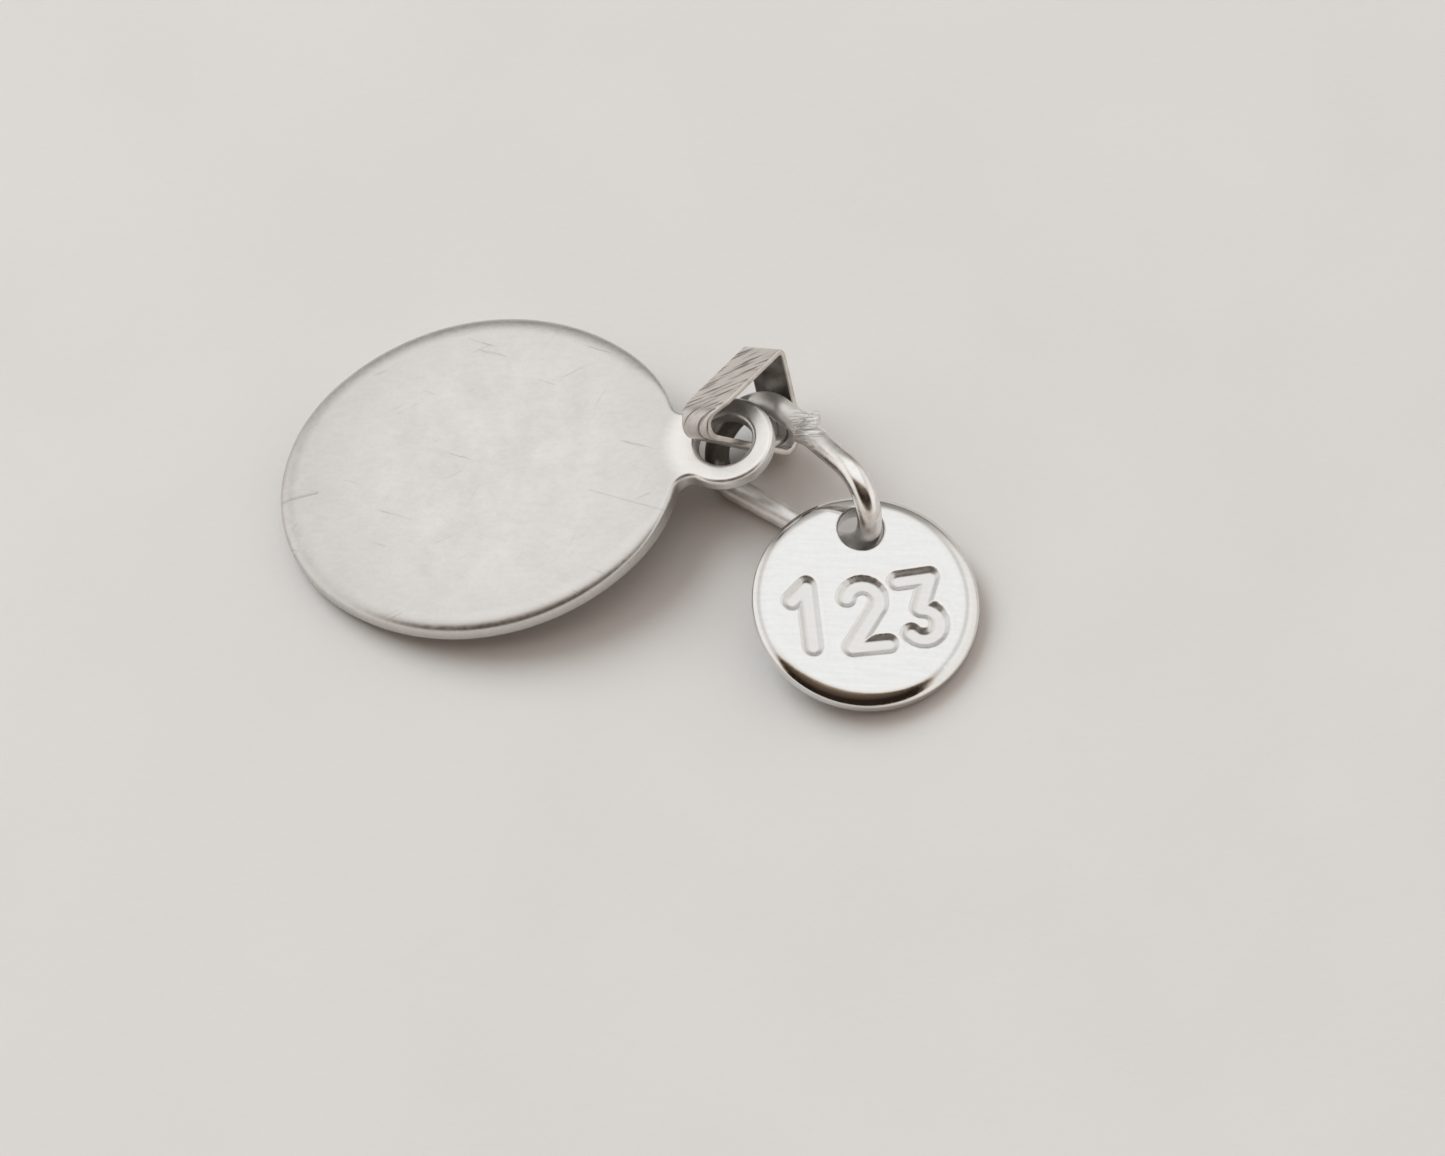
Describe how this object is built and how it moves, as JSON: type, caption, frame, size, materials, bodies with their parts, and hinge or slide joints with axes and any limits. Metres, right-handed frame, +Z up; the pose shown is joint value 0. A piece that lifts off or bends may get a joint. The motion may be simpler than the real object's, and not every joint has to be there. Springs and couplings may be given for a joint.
{
  "type": "oval tag pendant with number disc",
  "caption": "Blank oval metal tag with a pierced eye, carrying a folded strip bail and a wire link that holds a small round disc stamped with a plain number.",
  "frame": {"origin": "middle of the object's outline, on the table that it lies on", "axes": "+X along the tag's length, from its plain end towards its eye; +Z up from the table"},
  "size_m": [0.028, 0.0185, 0.0053],
  "materials": {
    "tag_metal": "satin, finely scratched, silver grey",
    "bail_metal": "filed strip with fine diagonal marks",
    "wire_metal": "bright drawn wire, marked by pliers",
    "disc_metal": "polished, with a soft shoulder and a stamped number"
  },
  "bodies": {
    "tag": {"oval_tag": "tag_metal"},
    "bail": {"bail": "bail_metal"},
    "link": {"jump_ring": "wire_metal"},
    "disc": {"number_disc": "disc_metal"}
  },
  "joints": [
    {"name": "bail_swing", "type": "hinge", "parent": "tag", "child": "bail", "pos_m": [0.00411, 0.002, 0.003], "axis": [0, 0, 1], "range_deg": [-14, 28]},
    {"name": "ring_swing", "type": "hinge", "parent": "bail", "child": "link", "pos_m": [0.0051, 0.0032, 0.0024], "axis": [0, 0, 1], "range_deg": [-15, 20]},
    {"name": "disc_swing", "type": "hinge", "parent": "link", "child": "disc", "pos_m": [0.0096, -0.00185, 0.0016], "axis": [0, 0, 1], "range_deg": [-20, 40]}
  ]
}
